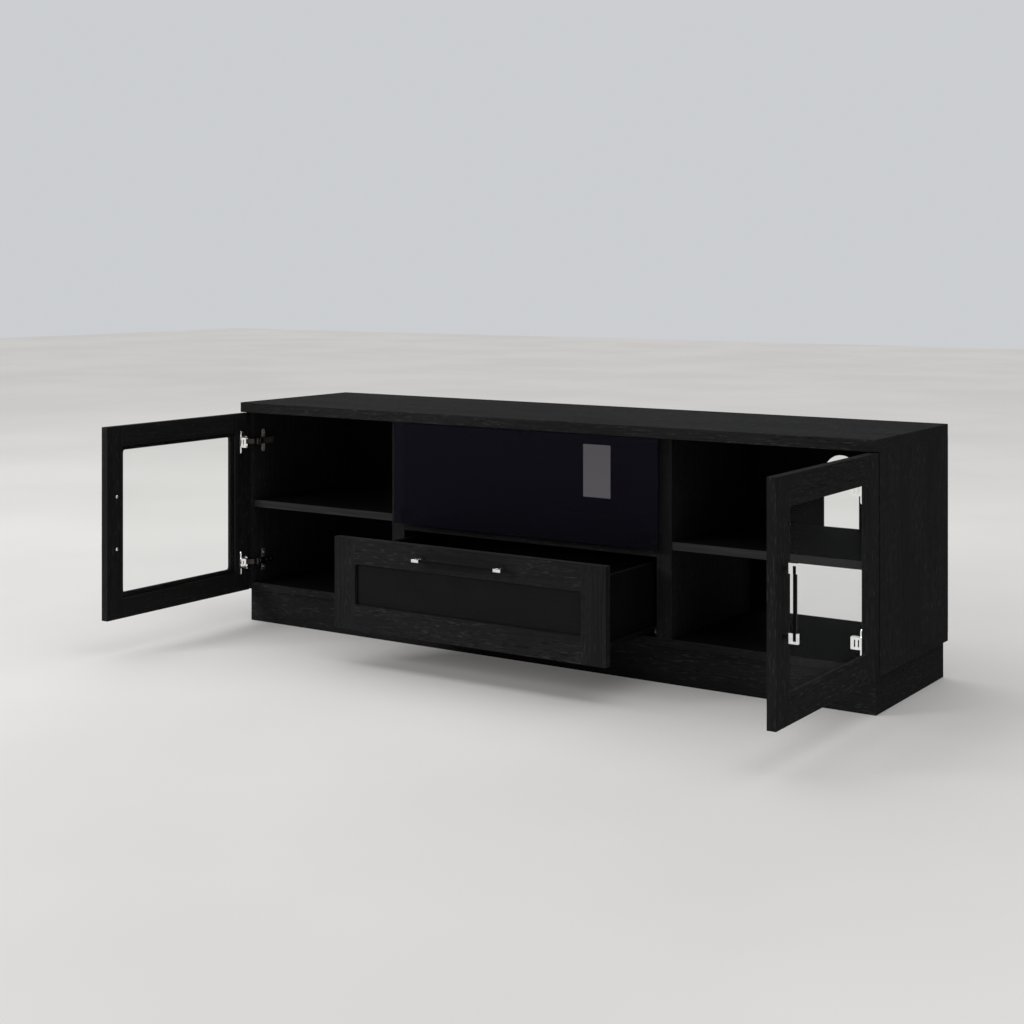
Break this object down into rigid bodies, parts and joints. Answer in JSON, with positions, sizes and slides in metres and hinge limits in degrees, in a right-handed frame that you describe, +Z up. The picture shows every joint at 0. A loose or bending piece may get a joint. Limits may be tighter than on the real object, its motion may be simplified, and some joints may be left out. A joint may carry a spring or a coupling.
{
  "type": "media cabinet",
  "caption": "Low dark wood media cabinet with framed glass doors, open bays with shelves, a glazed drawer and a tinted glass drop-down flap on a plinth.",
  "frame": {"origin": "on the floor, half-way across the width and half-way through the carcass's depth", "axes": "+X to the right as seen from the front, +Y towards the back, +Z up"},
  "size_m": [1.844, 0.927, 0.583],
  "materials": {
    "stained_wood": "black-brown stained open-grain veneer, satin lacquer",
    "back_board": "thin dark-stained board, matt",
    "clear_glass": "clear float glass",
    "tinted_glass": "dark grey-blue tinted float glass",
    "black_bead": "soft black glazing strip",
    "bright_chrome": "polished chrome plate",
    "nickel_steel": "nickel-plated pressed steel",
    "black_metal": "black powder coat, satin",
    "runner_metal": "dark epoxy-coated steel",
    "roller_plastic": "white nylon",
    "latch_plastic": "black moulded plastic",
    "drawer_board": "dark melamine-faced board"
  },
  "bodies": {
    "cabinet": {"top_panel": "stained_wood", "deck": "stained_wood", "left_side_panel": "stained_wood", "right_side_panel": "stained_wood", "left_divider": "stained_wood", "right_divider": "stained_wood", "centre_shelf": "stained_wood", "left_shelf": "stained_wood", "right_shelf": "stained_wood", "shelf_pins": "nickel_steel", "left_back_panel": "back_board", "centre_back_panel": "back_board", "right_back_panel": "back_board", "plinth_front": "stained_wood", "plinth_back": "stained_wood", "plinth_ends": "stained_wood", "plinth_braces": "stained_wood", "hinge_plates": "nickel_steel", "hinge_arms": "nickel_steel", "cabinet_runners": "runner_metal", "flap_hinge_brackets": "nickel_steel", "touch_latch_housing": "latch_plastic"},
    "left_door": {"left_door_stiles": "stained_wood", "left_door_rails": "stained_wood", "left_door_glass": "clear_glass", "left_door_beads": "black_bead", "left_hinge_cups": "nickel_steel", "left_handle_bar": "black_metal", "left_handle_caps": "bright_chrome", "left_handle_posts": "black_metal", "left_handle_screws": "bright_chrome"},
    "right_door": {"right_door_stiles": "stained_wood", "right_door_rails": "stained_wood", "right_door_glass": "clear_glass", "right_door_beads": "black_bead", "right_hinge_cups": "nickel_steel", "right_handle_bar": "black_metal", "right_handle_caps": "bright_chrome", "right_handle_posts": "black_metal", "right_handle_screws": "bright_chrome"},
    "left_hinge_links": {"left_hinge_links": "nickel_steel"},
    "right_hinge_links": {"right_hinge_links": "nickel_steel"},
    "drawer": {"drawer_front_stiles": "stained_wood", "drawer_front_rails": "stained_wood", "drawer_front_glass": "clear_glass", "drawer_front_beads": "black_bead", "drawer_sides": "drawer_board", "drawer_back": "drawer_board", "drawer_bottom": "drawer_board", "drawer_runners": "runner_metal", "drawer_handle_bar": "black_metal", "drawer_handle_caps": "bright_chrome", "drawer_handle_posts": "black_metal", "drawer_handle_screws": "bright_chrome"},
    "front_rollers": {"runner_front_rollers": "roller_plastic"},
    "rear_rollers": {"drawer_rear_rollers": "roller_plastic"},
    "flap": {"flap_glass": "tinted_glass", "flap_hinge_leaves": "nickel_steel", "flap_strike_plate": "nickel_steel"},
    "latch_plunger": {"touch_latch_plunger": "latch_plastic"}
  },
  "joints": [
    {"name": "left_door_hinge", "type": "hinge", "parent": "cabinet", "child": "left_door", "pos_m": [-0.8825, -0.211, 0.31975], "axis": [0, 0, -1], "range_deg": [-90, 15]},
    {"name": "right_door_hinge", "type": "hinge", "parent": "cabinet", "child": "right_door", "pos_m": [0.8825, -0.211, 0.31975], "axis": [0, 0, 1], "range_deg": [-90, 15]},
    {"name": "left_hinge_link_swing", "type": "hinge", "parent": "cabinet", "child": "left_hinge_links", "pos_m": [-0.853, -0.1925, 0.31975], "axis": [0, 0, 1], "range_deg": [-22, 4]},
    {"name": "right_hinge_link_swing", "type": "hinge", "parent": "cabinet", "child": "right_hinge_links", "pos_m": [0.853, -0.1925, 0.31975], "axis": [0, 0, -1], "range_deg": [-22, 4]},
    {"name": "drawer_slide", "type": "slide", "parent": "cabinet", "child": "drawer", "axis": [0, -1, 0], "range_m": [-0.231, 0.069]},
    {"name": "front_roller_spin", "type": "hinge", "parent": "cabinet", "child": "front_rollers", "pos_m": [0, -0.1815, 0.1161], "axis": [1, 0, 0], "range_deg": [-1400, 430]},
    {"name": "rear_roller_spin", "type": "hinge", "parent": "drawer", "child": "rear_rollers", "pos_m": [0, -0.0715, 0.1161], "axis": [1, 0, 0], "range_deg": [-1660, 510]},
    {"name": "flap_hinge", "type": "hinge", "parent": "cabinet", "child": "flap", "pos_m": [0, -0.2125, 0.3165], "axis": [1, 0, 0], "range_deg": [0, 90]},
    {"name": "latch_press", "type": "slide", "parent": "cabinet", "child": "latch_plunger", "axis": [0, 1, 0], "range_m": [0, 0.004], "stiffness_N_per_m": 200}
  ],
  "couplings": [
    {"joint": "left_hinge_link_swing", "follows": "left_door_hinge", "ratio": 0.24},
    {"joint": "right_hinge_link_swing", "follows": "right_door_hinge", "ratio": 0.24},
    {"joint": "front_roller_spin", "follows": "drawer_slide", "rad_per_m": 104.17},
    {"joint": "rear_roller_spin", "follows": "drawer_slide", "rad_per_m": 123.46}
  ]
}
